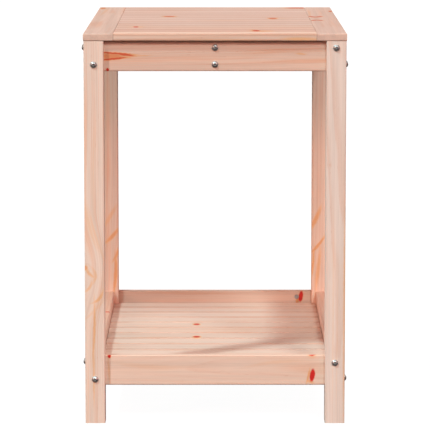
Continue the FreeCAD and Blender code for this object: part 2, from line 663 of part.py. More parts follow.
worktop_rows = (WORKTOP_PITCH, "dims.worktop_slats")
shelf_rows = (SHELF_PITCH, "dims.shelf_slats")
add_slats("worktop", WORKTOP_SLAT, SLAT_SCREW_X, *worktop_rows, LEG_HEIGHT, False, True)
add_slats("shelf", SHELF_SLAT, SHELF_BATTEN_X, *shelf_rows, SHELF_LEVEL, True, False)

frame_bolt = draw_bolt("frame_bolt", "dims.frame_bolt")
centre_bolt = draw_bolt("centre_bolt", "dims.centre_bolt")
barrel_nut = draw_barrel_nut()
short_screw = draw_screw("short_screw", "dims.short_screw")
long_screw = draw_screw("long_screw", "dims.long_screw")
add_frame_fasteners("top", TOP_RAIL_LEVEL, frame_bolt, barrel_nut)
add_frame_fasteners("shelf", "dims.shelf_rail_level", frame_bolt, barrel_nut)
add_centre_rail_fasteners(centre_bolt, barrel_nut, long_screw)
add_batten_screws(short_screw)

# Nothing is written unless every object and every part is sound.

document.recompute()
for item in document.Objects:
    if "Invalid" in item.State or "Error" in item.State:
        raise RuntimeError(f"{item.Label} failed: {item.State}")
for part in parts:
    if part.Shape.isNull() or not part.Shape.isValid():
        raise RuntimeError(f"{part.Label} has no sound shape")

os.makedirs("parts", exist_ok=True)
for part in parts:
    part.Shape.exportStep(f"parts/{part.Label}.step")
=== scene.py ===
import math
import random

import bpy
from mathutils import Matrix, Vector


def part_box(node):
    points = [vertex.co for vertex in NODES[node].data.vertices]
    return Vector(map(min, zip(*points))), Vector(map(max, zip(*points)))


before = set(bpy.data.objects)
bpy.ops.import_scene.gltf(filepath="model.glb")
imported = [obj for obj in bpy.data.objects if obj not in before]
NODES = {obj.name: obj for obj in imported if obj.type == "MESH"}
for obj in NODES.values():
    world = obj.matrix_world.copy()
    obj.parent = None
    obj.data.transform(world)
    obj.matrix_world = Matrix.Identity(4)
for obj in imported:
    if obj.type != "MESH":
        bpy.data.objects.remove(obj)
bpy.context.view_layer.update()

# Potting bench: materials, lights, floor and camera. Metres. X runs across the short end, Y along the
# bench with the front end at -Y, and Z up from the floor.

X, Y, Z = 0, 1, 2

# Camera: far away in front of the bench, above the worktop, and tilted down; the dip is in degrees.
CAMERA_PLACE = (0.0, -5.889, 1.132)
CAMERA_DIP = 7.569
CAMERA_LENS = 242.73
SENSOR_WIDTH = 36.0
CAMERA_FAR = 200.0

# Lights: name, degrees round from the front end (positive towards +X), degrees above the horizon, angular
# size in degrees, strength of red, green and blue. The key is the coolest, and the two low lights in
# front are warm.
LIGHTS = (
    ("key_light", -51.0, 51.0, 4.0, (1.15, 1.66, 1.70)),
    ("front_light", 0.0, 39.5, 12.0, (0.32, 0.34, 0.30)),
    ("front_right_light", 18.0, 39.0, 12.0, (0.95, 1.12, 1.08)),
    ("left_low_light", -50.0, 17.0, 10.0, (0.61, 0.30, 0.20)),
    ("right_low_light", 50.0, 17.0, 10.0, (0.41, 0.10, 0.08)),
    ("back_left_light", -140.0, 7.0, 16.0, (0.45, 0.50, 0.48)),
    ("back_right_light", 150.0, 7.0, 16.0, (0.35, 0.45, 0.43)),
)
SKY_LIGHT = (0.54, 0.33, 0.29)
GROUND_LIGHT = (0.03, 0.03, 0.03)
PLAIN_WHITE = (1.0, 1.0, 1.0)
HORIZON_BLEND = 0.2

# Floor: its size, its gap below the feet, and its grey, mottle, roughness and glow.
FLOOR_SIZE = 80.0
FLOOR_GAP = 0.0002
FLOOR_GREY = 0.10
FLOOR_MOTTLE = 0.01
FLOOR_MOTTLE_SCALE = 1.5
FLOOR_MOTTLE_RANGE = (0.3, 0.7)
FLOOR_ROUGHNESS = 0.9
FLOOR_GLOW = 0.97

# Wood colours, linear. A board's tone multiplies them.
EARLYWOOD = (0.850, 0.635, 0.535)
LATEWOOD = (0.800, 0.470, 0.340)
STREAK = (0.830, 0.400, 0.225)
HONEY = (0.850, 0.460, 0.235)
DEEP_STREAK = (0.760, 0.250, 0.095)
KNOT = (0.700, 0.014, 0.010)
KNOT_HEART = (0.420, 0.010, 0.006)
END_GRAIN = (0.960, 0.640, 0.500)
# The colour on the next line is painted shade, laid along the boards' long edges and the gaps between
# boards.
EDGE_SHADE_COLOUR = (0.600, 0.300, 0.200)
CANAL = (0.560, 0.250, 0.140)

# Below, a soft ramp is written as from low, from high, to low, to high. One that has only the first two
# runs from 0 to 1. A noise varies about its middle value.
NOISE_MIDDLE = 0.5

# Metal: linear colours, size of the clouding and of the scratches, roughness and relief.
ZINC_LIGHT = (0.530, 0.550, 0.560)
ZINC_DARK = (0.400, 0.420, 0.430)
ZINC_METALLIC = 0.9
ZINC_CLOUD_SCALE = 260.0
ZINC_CLOUD_RANGE = (0.3, 0.7)
ZINC_SCRATCH_SCALE = (2600.0, 700.0, 2600.0)
ZINC_ROUGHNESS = (0.25, 0.75, 0.36, 0.52)
ZINC_BUMP = 0.00008
ZINC_BUMP_STRENGTH = 0.25

# How a mark fades with distance from its centre, in half sizes: pushed grain, red core, orange halo.
PUSH_FADE = (0.3, 3.2, 1.0, 0.0)
CORE_FADE = (0.72, 1.18, 1.0, 0.0)
HALO_FADE = (0.45, 2.1, 1.0, 0.0)

# Softwood noises, in features per metre along the board's width, thickness and length; then how far the
# wander and the ripple move the rings, and how the seed's offset is shared between width and thickness.
WANDER_SCALE = (9.0, 9.0, 2.6)
RIPPLE_SCALE = (70.0, 70.0, 11.0)
PATCH_SCALE = (22.0, 22.0, 3.5)
STRIPE_SCALE = (75.0, 75.0, 1.6)
BUNDLE_SCALE = (380.0, 380.0, 5.0)
FIBRE_SCALE = (1500.0, 1500.0, 28.0)
CANAL_SCALE = (900.0, 900.0, 90.0)
WANDER = 0.018
RIPPLE = 0.0022
SEED_SLANT = 0.37

# Noises that follow the rings: features per ring and per metre of length.
BAND_SCALE = (0.42, 3.2)
VEIN_SCALE = (1.7, 5.0)

# Growth rings: rise and fall of the latewood within a ring, and its strength by year and by place.
LATEWOOD_RISE = (0.30, 0.86)
LATEWOOD_FALL = (0.90, 1.0, 1.0, 0.0)
YEAR_STRENGTH = (0.0, 1.0, 0.25, 1.0)
PATCH_STRENGTH = (0.25, 0.75, 0.45, 1.0)

# Shares of the wood's colours, and how far fibres, bundles and stripes lighten or darken them.
LATEWOOD_SHARE = 0.55
BAND_SHARE = (0.50, 0.72)
VEIN_RANGE = (0.62, 0.80)
VEIN_SHARE = 0.55
CANAL_RANGE = (0.74, 0.80)
CANAL_SHARE = 0.5
END_SHARE = 0.6
# How much of the painted edge shade shows, broken up by a noise along the edges.
EDGE_SHADE_SHARE = (0.3, 0.7, 0.35, 0.85)
HONEY_SHARE = (0.0, 0.55, 0.0, 0.9)
DEEP_SHARE = (0.35, 1.0, 0.0, 0.85)
HEART_SHARE = (0.42, 0.70, 0.0, 0.5)
FIBRE_SHADE = (0.25, 0.75, -0.035, 0.035)
BUNDLE_SHADE = (0.3, 0.7, -0.03, 0.03)
STRIPE_SHADE = (0.3, 0.7, -0.05, 0.05)

# The wood's roughness and relief.
WOOD_ROUGHNESS = 0.60
FIBRE_ROUGHNESS = (0.2, 0.8, -0.05, 0.07)
LATEWOOD_SMOOTHNESS = 0.07
END_ROUGHNESS = 0.12
FIBRE_HEIGHT = 0.35
LATEWOOD_HEIGHT = 0.65
KNOT_SINK = 0.4
WOOD_BUMP = 0.00022
WOOD_BUMP_STRENGTH = 0.35

# What differs from board to board, each as lowest and highest: distance of the pith, taper, ring width,
# noise seed, extra warmth, and strength of the bands. The wood choice picks one such set of boards.
PITH_DISTANCE = (0.035, 0.110)
TAPER = (0.006, 0.020)
RING_WIDTH = (0.0034, 0.0058)
SEEDS = (1.0, 9.0)
WARMTH_SPREAD = (0.0, 0.15)
BAND_SPREAD = (0.7, 1.3)
WOOD_CHOICE = 41

# Small wobble in the outlines of marks, how squarely a face must lie across the grain to count as an end,
# and the distances from a long edge at which its band of painted shade starts and is full.
WOBBLE_SCALE = 160.0
WOBBLE = 0.0022
END_FACE = (0.6, 0.9)
EDGE_SHADE_START = 0.006
EDGE_SHADE_FULL = 0.0015


class Graph:
    """A node tree, with short calls for the nodes used here. A value is a number, a colour or a socket."""

    def __init__(self, tree):
        self.tree = tree

    def put(self, socket, value):
        if isinstance(value, bpy.types.NodeSocket):
            self.tree.links.new(value, socket)
        else:
            socket.default_value = value

    def add(self, kind, settings=(), values=()):
        node = self.tree.nodes.new(kind)
        for name, value in dict(settings).items():
            setattr(node, name, value)
        for name, value in dict(values).items():
            self.put(node.inputs[name], value)
        return node

    def math(self, operation, *values):
        node = self.add("ShaderNodeMath", {"operation": operation})
        for socket, value in zip(node.inputs, values):
            self.put(socket, value)
        return node.outputs[0]

    def vector(self, operation, *values):
        node = self.add("ShaderNodeVectorMath", {"operation": operation})
        for socket, value in zip(node.inputs, values):
            self.put(socket, value)
        single = operation in ("DOT_PRODUCT", "LENGTH", "DISTANCE")
        return node.outputs["Value" if single else "Vector"]

    def scaled(self, vector, factor):
        node = self.add("ShaderNodeVectorMath", {"operation": "SCALE"}, {"Scale": factor})
        self.put(node.inputs[0], vector)
        return node.outputs[0]

    def join(self, x, y, z):
        return self.add("ShaderNodeCombineXYZ", (), {"X": x, "Y": y, "Z": z}).outputs[0]

    def split(self, vector):
        return self.add("ShaderNodeSeparateXYZ", (), {"Vector": vector}).outputs

    def ramp(self, value, low, high, to_low=0.0, to_high=1.0):
        values = {"Value": value, "From Min": low, "From Max": high, "To Min": to_low, "To Max": to_high}
        return self.add("ShaderNodeMapRange", {"interpolation_type": "SMOOTHSTEP"}, values).outputs[0]

    def mix(self, factor, first, second, blend="MIX"):
        node = self.add("ShaderNodeMix", {"data_type": "RGBA", "blend_type": blend})
        self.put(node.inputs[0], factor)
        for socket, value in ((node.inputs[6], first), (node.inputs[7], second)):
            self.put(socket, (*value, 1.0) if isinstance(value, tuple) else value)
        return node.outputs[2]

    def noise(self, place, detail=2.0, roughness=0.5, colour=False):
        values = {"Vector": place, "Scale": 1.0, "Detail": detail, "Roughness": roughness}
        node = self.add("ShaderNodeTexNoise", (), values)
        return node.outputs["Color" if colour else "Fac"]


def new_group(name, inputs, outputs):
    """A shader node group with the given sockets: name -> kind."""
    tree = bpy.data.node_groups.new(name, "ShaderNodeTree")
    for way, sockets in (("INPUT", inputs), ("OUTPUT", outputs)):
        for socket, kind in sockets.items():
            tree.interface.new_socket(socket, in_out=way, socket_type="NodeSocket" + kind)
    graph = Graph(tree)
    return graph, graph.add("NodeGroupInput").outputs, graph.add("NodeGroupOutput").inputs


def mark_group():
    """One knot or streak: an oval, straight or bowed, that colours the wood and bends the grain."""
    inputs = {
        "Place": "Vector",
        "Shift": "Vector",
        "Core": "Float",
        "Halo": "Float",
        "Centre": "Vector",
        "Along": "Vector",
        "Across": "Vector",
        "Inward": "Vector",
        "Bow": "Float",
        "Push": "Vector",
        "Core strength": "Float",
        "Halo strength": "Float",
    }
    outputs = {"Shift": "Vector", "Core": "Float", "Halo": "Float"}
    graph, given, made = new_group("wood_mark", inputs, outputs)
    offset = graph.vector("SUBTRACT", given["Place"], given["Centre"])
    along = graph.vector("DOT_PRODUCT", offset, given["Along"])
    bow = graph.math("MULTIPLY", graph.math("MULTIPLY", along, along), given["Bow"])
    across = graph.math("SUBTRACT", graph.vector("DOT_PRODUCT", offset, given["Across"]), bow)
    inward = graph.vector("DOT_PRODUCT", offset, given["Inward"])
    distance = graph.vector("LENGTH", graph.join(along, across, inward))
    near = graph.ramp(distance, *PUSH_FADE)
    push = graph.scaled(given["Push"], graph.math("MULTIPLY", across, near))
    core = graph.math("MULTIPLY", graph.ramp(distance, *CORE_FADE), given["Core strength"])
    halo = graph.math("MULTIPLY", graph.ramp(distance, *HALO_FADE), given["Halo strength"])
    graph.put(made["Shift"], graph.vector("SUBTRACT", given["Shift"], push))
    graph.put(made["Core"], graph.math("MAXIMUM", given["Core"], core))
    graph.put(made["Halo"], graph.math("MAXIMUM", given["Halo"], halo))
    return graph.tree


def ring_place(graph, rings, seed, length, scale):
    """Where to read a noise that follows the rings: rings out from the pith, and length along the board."""
    per_ring, per_metre = scale
    out = graph.math("MULTIPLY", rings, per_ring)
    return graph.join(out, seed, graph.math("MULTIPLY", length, per_metre))


def softwood_group():
    """Planed softwood in a board's own frame: width, thickness, length. Growth rings lie round a pith line
    beside the board, so faces show long lines and arches and ends show arcs."""
    inputs = {
        "Place": "Vector",
        "Pith": "Vector",
        "Ring": "Float",
        "Seed": "Float",
        "Warmth": "Float",
        "Streaks": "Float",
        "Tone": "Vector",
        "Core": "Float",
        "Halo": "Float",
        "Edge": "Float",
        "End": "Float",
    }
    outputs = {"Color": "Color", "Roughness": "Float", "Height": "Float"}
    graph, given, made = new_group("softwood", inputs, outputs)
    seed = given["Seed"]
    away = graph.join(seed, graph.math("MULTIPLY", seed, SEED_SLANT), 0.0)
    place = graph.vector("ADD", given["Place"], away)

    # Slow wandering of the trunk, then a small ripple, both long in the grain's direction.
    slow_place = graph.vector("MULTIPLY", place, WANDER_SCALE)
    slow = graph.noise(slow_place, detail=1.0, roughness=0.4, colour=True)
    wander = graph.scaled(graph.vector("SUBTRACT", slow, (NOISE_MIDDLE,) * 3), WANDER)
    ripple = graph.noise(graph.vector("MULTIPLY", place, RIPPLE_SCALE), roughness=0.55)
    ripple = graph.math("MULTIPLY", graph.math("SUBTRACT", ripple, NOISE_MIDDLE), RIPPLE)
    u, v, length = graph.split(graph.vector("ADD", given["Place"], wander))
    pith_u, pith_v, taper = graph.split(given["Pith"])
    across = graph.join(graph.math("SUBTRACT", u, pith_u), graph.math("SUBTRACT", v, pith_v), 0.0)
    radius = graph.math("ADD", graph.vector("LENGTH", across), graph.math("MULTIPLY", length, taper))
    rings = graph.math("DIVIDE", graph.math("ADD", radius, ripple), given["Ring"])
    phase = graph.math("FRACT", rings)
    ring_number = graph.math("ADD", graph.math("FLOOR", rings), seed)
    year = graph.add("ShaderNodeTexWhiteNoise", {"noise_dimensions": "1D"}, {"W": ring_number})
    rise = graph.ramp(phase, *LATEWOOD_RISE)
    fall = graph.ramp(phase, *LATEWOOD_FALL)
    strong = graph.ramp(year.outputs["Value"], *YEAR_STRENGTH)
    late = graph.math("MULTIPLY", graph.math("MULTIPLY", rise, fall), strong)
    patch = graph.noise(graph.vector("MULTIPLY", place, PATCH_SCALE))
    late = graph.math("MULTIPLY", late, graph.ramp(patch, *PATCH_STRENGTH))

    fibre = graph.noise(graph.vector("MULTIPLY", place, FIBRE_SCALE), roughness=0.6)
    bundle = graph.noise(graph.vector("MULTIPLY", place, BUNDLE_SCALE))
    stripe = graph.noise(graph.vector("MULTIPLY", place, STRIPE_SCALE), detail=1.0)
    dashes = graph.noise(graph.vector("MULTIPLY", place, CANAL_SCALE), detail=0.0)
    band = graph.noise(ring_place(graph, rings, seed, length, BAND_SCALE))
    vein = graph.noise(ring_place(graph, rings, seed, length, VEIN_SCALE), detail=1.0)

    colour = graph.mix(graph.math("MULTIPLY", late, LATEWOOD_SHARE), EARLYWOOD, LATEWOOD)
    streak = graph.math("MULTIPLY", graph.ramp(band, *BAND_SHARE), given["Streaks"])
    colour = graph.mix(streak, colour, STREAK)
    deep = graph.math("MULTIPLY", graph.ramp(vein, *VEIN_RANGE), streak)
    colour = graph.mix(graph.math("MULTIPLY", deep, VEIN_SHARE), colour, DEEP_STREAK)
    colour = graph.mix(given["Warmth"], colour, LATEWOOD)
    canal = graph.math("MULTIPLY", graph.ramp(dashes, *CANAL_RANGE), late)
    colour = graph.mix(graph.math("MULTIPLY", canal, CANAL_SHARE), colour, CANAL)
    colour = graph.mix(graph.math("MULTIPLY", given["End"], END_SHARE), colour, END_GRAIN)
    # Painted shade: a darker, redder band along the long edges.
    edge = graph.math("MULTIPLY", given["Edge"], graph.ramp(bundle, *EDGE_SHADE_SHARE))
    colour = graph.mix(edge, colour, EDGE_SHADE_COLOUR)
    halo = given["Halo"]
    colour = graph.mix(graph.ramp(halo, *HONEY_SHARE), colour, HONEY)
    colour = graph.mix(graph.ramp(halo, *DEEP_SHARE), colour, DEEP_STREAK)
    heart = graph.mix(graph.ramp(fibre, *HEART_SHARE), KNOT, KNOT_HEART)
    colour = graph.mix(given["Core"], colour, heart)
    shade = graph.ramp(fibre, *FIBRE_SHADE)
    shade = graph.math("ADD", shade, graph.ramp(bundle, *BUNDLE_SHADE))
    shade = graph.math("ADD", shade, graph.ramp(stripe, *STRIPE_SHADE))
    tone = graph.scaled(given["Tone"], graph.math("ADD", 1.0, shade))
    colour = graph.mix(1.0, colour, tone, "MULTIPLY")

    rough = graph.math("ADD", WOOD_ROUGHNESS, graph.ramp(fibre, *FIBRE_ROUGHNESS))
    rough = graph.math("SUBTRACT", rough, graph.math("MULTIPLY", late, LATEWOOD_SMOOTHNESS))
    rough = graph.math("ADD", rough, graph.math("MULTIPLY", given["End"], END_ROUGHNESS))
    height = graph.math("MULTIPLY", fibre, FIBRE_HEIGHT)
    height = graph.math("ADD", height, graph.math("MULTIPLY", late, LATEWOOD_HEIGHT))
    height = graph.math("SUBTRACT", height, graph.math("MULTIPLY", given["Core"], KNOT_SINK))
    graph.put(made["Color"], colour)
    graph.put(made["Roughness"], rough)
    graph.put(made["Height"], height)
    return graph.tree


def knot(centre, normal, along, across, tilt=0, core=1.0, halo=0.8, push=1.6):
    """A knot: half sizes along and across the grain, tilt in degrees, strengths of core and halo."""
    return centre, normal, along, across, tilt, 0.0, core, halo, push


def streak(centre, normal, along, across, tilt=0, halo=0.8, bow=0.0):
    """An orange streak, bowed sideways towards its ends by bow times its half width."""
    return centre, normal, along, across, tilt, bow, 0.0, halo, 0.0


def swirl(centre, normal, along, across, push=0.9):
    """A place that bends the grain and has no colour of its own."""
    return centre, normal, along, across, 0, 0.0, 0.0, 0.0, push


# How deep marks go into the wood, and the outer faces that carry them.
MARK_DEPTH = 0.006
FRONT = -0.402
FRONT_LEG = -0.4115
BACK_LEG = 0.3735
BACK = 0.383
RAIL_TOP = 0.131
SHELF = 0.105
TOP = 0.750

# Knots, streaks and swirls of single boards: centre on the face, the face's axis, and half sizes.
MARKS = {
    "shelf_rail_front": (
        knot((0.187, FRONT, 0.0920), Y, 0.0052, 0.0130, -8, 1.0, 0.15, 0.0),
        streak((0.1795, FRONT, 0.0905), Y, 0.0016, 0.0120, -12, 0.62),
        streak((0.1830, FRONT, 0.0800), Y, 0.0060, 0.0022, -20, 0.50),
        knot((0.187, -0.399, RAIL_TOP), Z, 0.0075, 0.0030, 0, 1.0, 0.5, 0.0),
        knot((-0.203, FRONT, 0.1290), Y, 0.0030, 0.0036, 0, 1.0, 0.5),
        streak((-0.204, FRONT, 0.1020), Y, 0.0018, 0.0200, 3, 0.34),
        streak((0.120, FRONT, 0.1180), Y, 0.0500, 0.0030, 6, 0.20, -0.8),
        streak((-0.120, FRONT, 0.1080), Y, 0.0600, 0.0040, -3, 0.20, 0.8),
    ),
    "top_rail_front": (
        knot((-0.188, FRONT, 0.7118), Y, 0.0300, 0.0016, -4, 0.60, 1.0, 0.0),
        knot((-0.191, FRONT, 0.7018), Y, 0.0230, 0.0020, 6, 0.62, 1.0, 0.0),
        knot((-0.168, FRONT, 0.7086), Y, 0.0150, 0.0014, -6, 0.55, 1.0, 0.0),
        streak((-0.196, FRONT, 0.7068), Y, 0.0200, 0.0050, 0, 0.85),
        streak((-0.140, FRONT, 0.7072), Y, 0.0170, 0.0012, 3, 0.36),
        knot((-0.204, FRONT, 0.6810), Y, 0.0030, 0.0030, 0, 1.0, 0.5),
        streak((0.163, FRONT, 0.7110), Y, 0.0085, 0.0016, -4, 0.40),
    ),
    "shelf_rail_back": (
        knot((0.188, BACK, 0.1190), Y, 0.0048, 0.0130, -8, 1.0, 0.35, 0.0),
        streak((0.181, BACK, 0.1110), Y, 0.0028, 0.0080, -10, 0.8),
    ),
    "shelf_rail_left": (knot((-0.2247, 0.1035, RAIL_TOP), Z, 0.0050, 0.0120, 0, 1.0, 0.6),),
    "shelf_slat_08": (knot((-0.0386, 0.1020, SHELF), Z, 0.0062, 0.0095, 0, 1.0, 0.9),),
    "shelf_slat_06": (knot((-0.0377, -0.0490, SHELF), Z, 0.0068, 0.0095, 0, 1.0, 0.9),),
    "worktop_slat_04": (
        knot((-0.1545, -0.2240, TOP), Z, 0.0054, 0.0150, 0, 1.0, 0.7),
        streak((-0.1510, -0.2240, TOP), Z, 0.0120, 0.0150, 0, 0.36),
    ),
    "worktop_slat_09": (knot((-0.0943, 0.1000, TOP), Z, 0.0110, 0.0200, 0, 0.34, 0.9),),
    "worktop_slat_02": (
        knot((0.0790, -0.3340, TOP), Z, 0.0072, 0.0150, 0, 1.0, 0.9),
        streak((0.0880, -0.3400, TOP), Z, 0.0190, 0.0130, 0, 0.50),
        streak((0.0740, -0.3120, TOP), Z, 0.0060, 0.0120, 0, 0.45),
    ),
    "worktop_slat_08": (
        knot((0.1177, 0.0360, TOP), Z, 0.0080, 0.0200, 0, 0.40, 0.9),
        streak((0.1300, 0.0360, TOP), Z, 0.0240, 0.0060, 0, 0.35),
    ),
    "worktop_slat_07": (streak((0.0200, -0.0300, TOP), Z, 0.0420, 0.0070, 0, 0.28),),
    "worktop_slat_14": (knot((0.1765, 0.3850, TOP), Z, 0.0220, 0.0150, 0, 0.80, 0.9),),
    "worktop_slat_01": (
        streak((0.1620, -0.4125, 0.740), Y, 0.0280, 0.0026, 0, 0.45),
        streak((0.0200, -0.4125, 0.7385), Y, 0.0600, 0.0016, 0, 0.22),
    ),
    "worktop_side_board_right": (
        knot((0.2010, 0.0860, TOP), Z, 0.0170, 0.0046, -26, 1.0, 0.9),
        knot((0.2130, 0.0860, TOP), Z, 0.0170, 0.0046, 26, 1.0, 0.9),
        knot((0.2010, -0.0240, TOP), Z, 0.0140, 0.0044, 26, 0.90, 0.8),
        knot((0.2110, -0.0240, TOP), Z, 0.0140, 0.0044, -26, 0.90, 0.8),
        knot((0.2447, 0.2660, TOP), Z, 0.0200, 0.0036, 0, 0.60, 0.6),
        streak((0.1980, 0.1900, TOP), Z, 0.1100, 0.0022, 1, 0.30),
    ),
    "worktop_side_board_left": (
        knot((-0.2413, 0.3710, TOP), Z, 0.0240, 0.0050, 0, 0.15, 0.8),
        streak((-0.2330, 0.2600, TOP), Z, 0.1100, 0.0030, 2, 0.30),
    ),
    "leg_front_left": (
        swirl((-0.2600, FRONT_LEG, 0.2950), Y, 0.0420, 0.0240, 1.0),
        knot((-0.2480, FRONT_LEG, 0.3020), Y, 0.0040, 0.0042, 0, 0.12, 0.62),
        streak((-0.2410, FRONT_LEG, 0.2920), Y, 0.0120, 0.0026, -38, 0.44, 1.0),
        streak((-0.2285, FRONT_LEG, 0.2860), Y, 0.0150, 0.0026, 0, 0.34, -2.0),
        streak((-0.2320, FRONT_LEG, 0.4800), Y, 0.0800, 0.0030, 1, 0.18, 0.5),
        streak((-0.2400, FRONT_LEG, 0.2640), Y, 0.0110, 0.0022, 34, 0.38, -1.2),
        streak((-0.2210, FRONT_LEG, 0.2430), Y, 0.0130, 0.0026, 40, 0.50, -1.2),
        streak((-0.2312, FRONT_LEG, 0.1800), Y, 0.0480, 0.0019, 2, 0.52, -0.6),
        streak((-0.2325, FRONT_LEG, 0.0950), Y, 0.0500, 0.0016, 0, 0.42),
        streak((-0.2400, FRONT_LEG, 0.3850), Y, 0.0420, 0.0030, -14, 0.26, 0.8),
        streak((-0.2280, FRONT_LEG, 0.3650), Y, 0.0480, 0.0024, -17, 0.24, 0.6),
        streak((-0.2300, FRONT_LEG, 0.2200), Y, 0.0260, 0.0024, 44, 0.22, -0.6),
        streak((-0.2400, FRONT_LEG, 0.1300), Y, 0.0900, 0.0120, 0, 0.07),
    ),
    "leg_front_right": (
        knot((0.2180, FRONT_LEG, 0.5000), Y, 0.0030, 0.0020, 0, 0.06, 0.16),
        streak((0.2475, FRONT_LEG, 0.2200), Y, 0.1700, 0.0018, 0, 0.42),
        streak((0.2260, FRONT_LEG, 0.2200), Y, 0.1700, 0.0014, 0, 0.20),
        streak((0.2340, FRONT_LEG, 0.1600), Y, 0.1300, 0.0012, 0.4, 0.16),
    ),
    "leg_back_left": (
        streak((-0.2230, BACK_LEG, 0.2540), Y, 0.0190, 0.0034, 42, 0.62, -0.3),
        streak((-0.2290, BACK_LEG, 0.2960), Y, 0.0240, 0.0034, 30, 0.34),
        streak((-0.2170, BACK_LEG, 0.1700), Y, 0.0360, 0.0028, 3, 0.66, -0.7),
        streak((-0.2140, BACK_LEG, 0.2140), Y, 0.0150, 0.0026, 22, 0.62, -0.5),
    ),
    "leg_back_right": (
        streak((0.2180, BACK_LEG, 0.2880), Y, 0.0250, 0.0038, 26, 0.58, -0.3),
        streak((0.2240, BACK_LEG, 0.2320), Y, 0.0210, 0.0026, 40, 0.64, -0.5),
        streak((0.2135, BACK_LEG, 0.1900), Y, 0.0300, 0.0022, 6, 0.60, -0.4),
        streak((0.2250, BACK_LEG, 0.1800), Y, 0.0380, 0.0034, 6, 0.46),
    ),
}

# In the tables below, a board takes the value of the longest name part that its own name starts with.
# Tones: what a board's red, green and blue are multiplied by. Some also stand in for light and shade: the
# back and left shelf rails are darker as painted shade, the back legs are lighter as painted light, and the
# worktop boards are darker to offset how brightly their tops are lit.
TONES_AND_PAINTED_LIGHT = {
    "leg_front": (1.03, 1.17, 1.26),
    "leg_front_left": (1.05, 1.14, 1.18),
    "leg_back": (1.15, 1.24, 1.26),
    "top_rail_front": (0.97, 0.95, 0.94),
    "shelf_rail_front": (0.98, 1.01, 1.01),
    "shelf_rail_back": (0.79, 0.81, 0.81),
    "shelf_rail_left": (0.90, 0.83, 0.79),
    "shelf_slat": (0.96, 1.06, 1.11),
    "worktop_slat_01": (0.94, 1.00, 1.01),
    "worktop_slat_02": (0.80, 0.79, 0.81),
    "worktop_slat_03": (0.80, 0.82, 0.84),
    "worktop_slat_04": (0.80, 0.84, 0.86),
    "worktop_side_board_left": (0.79, 0.83, 0.86),
    "worktop_side_board_right": (0.77, 0.79, 0.82),
    "worktop_": (0.80, 0.85, 0.90),
}
USUAL_TONE = (1.0, 1.0, 1.0)

# Strength of the orange bands, and of the painted shade along the long edges.
BANDS = {
    "leg_": 0.50,
    "leg_front_right": 0.20,
    "shelf_slat": 0.32,
    "worktop_slat": 0.34,
    "top_rail": 0.40,
    "shelf_rail": 0.35,
}
USUAL_BANDS = 0.40
EDGE_SHADES = {"leg_": 0.2, "shelf_slat": 0.9, "worktop_slat": 1.0, "worktop_side_board": 0.0}
USUAL_EDGE_SHADE = 0.3

# How far the tone may vary from one board to the next, and how much latewood colour lies over the whole.
SPREADS = {"shelf_slat": 0.05, "worktop_slat": 0.04}
USUAL_SPREAD = 0.02
WARMTHS = {"leg_front": 0.0}
USUAL_WARMTH = 0.12

# Fasteners share one metal; every other node is a board.
FASTENER_WORDS = ("bolts", "barrel_nuts", "screws")


def board_axes(node):
    """The board's axes as (width, thickness, length), from its box: the longest side is the grain."""
    low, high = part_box(node)
    sizes = high - low
    thickness, width, length = sorted((X, Y, Z), key=lambda axis: sizes[axis])
    return width, thickness, length


def by_prefix(table, node, usual):
    """The table's value for the longest key that the node's name starts with."""
    keys = [key for key in table if node.startswith(key)]
    return table[max(keys, key=len)] if keys else usual


def unit(axis):
    return Vector([1.0 if each == axis else 0.0 for each in (X, Y, Z)])


def add_mark(graph, group, place, state, grain_axis, mark):
    """Chains one knot or streak onto the shift, core and halo found so far."""
    centre, normal_axis, half_along, half_across, tilt, bow, core, halo, push = mark
    across_axis = X + Y + Z - normal_axis - grain_axis
    along, across = unit(grain_axis), unit(across_axis)
    turn = math.radians(tilt)
    main = along * math.cos(turn) + across * math.sin(turn)
    side = across * math.cos(turn) - along * math.sin(turn)
    shift, red, orange = state
    values = {
        "Place": place,
        "Shift": shift,
        "Core": red,
        "Halo": orange,
        "Centre": centre,
        "Along": main / half_along,
        "Across": side / half_across,
        "Inward": unit(normal_axis) / MARK_DEPTH,
        "Bow": bow,
        "Push": across * half_across * push,
        "Core strength": core,
        "Halo strength": halo,
    }
    node = graph.add("ShaderNodeGroup", {"node_tree": group}, values)
    return node.outputs["Shift"], node.outputs["Core"], node.outputs["Halo"]


def board_edge_shade(graph, own, half, axes):
    """Mask of the painted shade: one along a board's four long edges, none on the rest of its faces."""
    parts = graph.split(own)
    near = []
    for axis in axes[:2]:
        out = graph.math("ABSOLUTE", parts[axis])
        near.append(graph.ramp(out, half[axis] - EDGE_SHADE_START, half[axis] - EDGE_SHADE_FULL))
    return graph.math("MINIMUM", *near)


